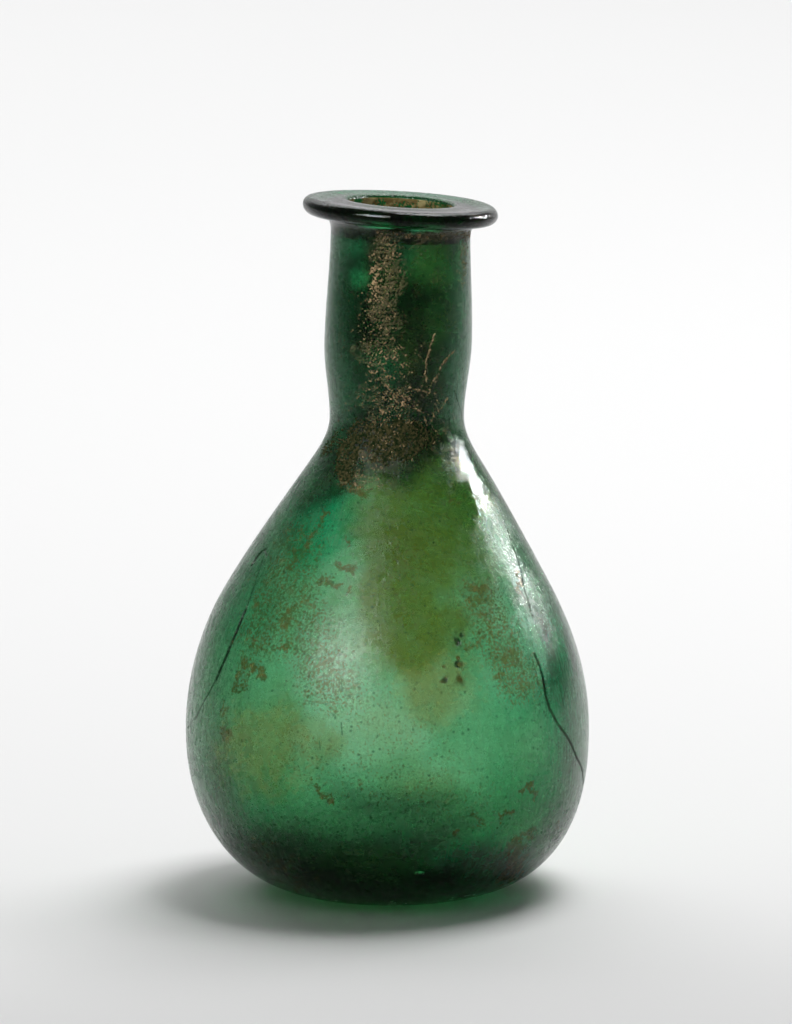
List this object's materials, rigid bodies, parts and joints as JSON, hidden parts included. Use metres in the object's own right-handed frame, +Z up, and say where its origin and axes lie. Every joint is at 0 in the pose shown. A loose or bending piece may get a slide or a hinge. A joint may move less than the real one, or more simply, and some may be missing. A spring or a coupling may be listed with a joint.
{
  "type": "glass perfume flask",
  "caption": "Hand-blown pear-shaped green glass perfume flask with a short leaning neck, a flat folded rim disc and a shallow hollow under its foot.",
  "frame": {"origin": "centre of the body on the surface that the foot stands on", "axes": "+Z up through the body, +X the way that the neck leans and the rim slants down, -Y towards the picture's camera"},
  "size_m": [0.0524, 0.0518, 0.0904],
  "materials": {
    "green_glass": "emerald green blown glass, weathered to a fine dull bloom, with brown soil film and flecks"
  },
  "bodies": {
    "root": {"flask": "green_glass"}
  },
  "joints": []
}
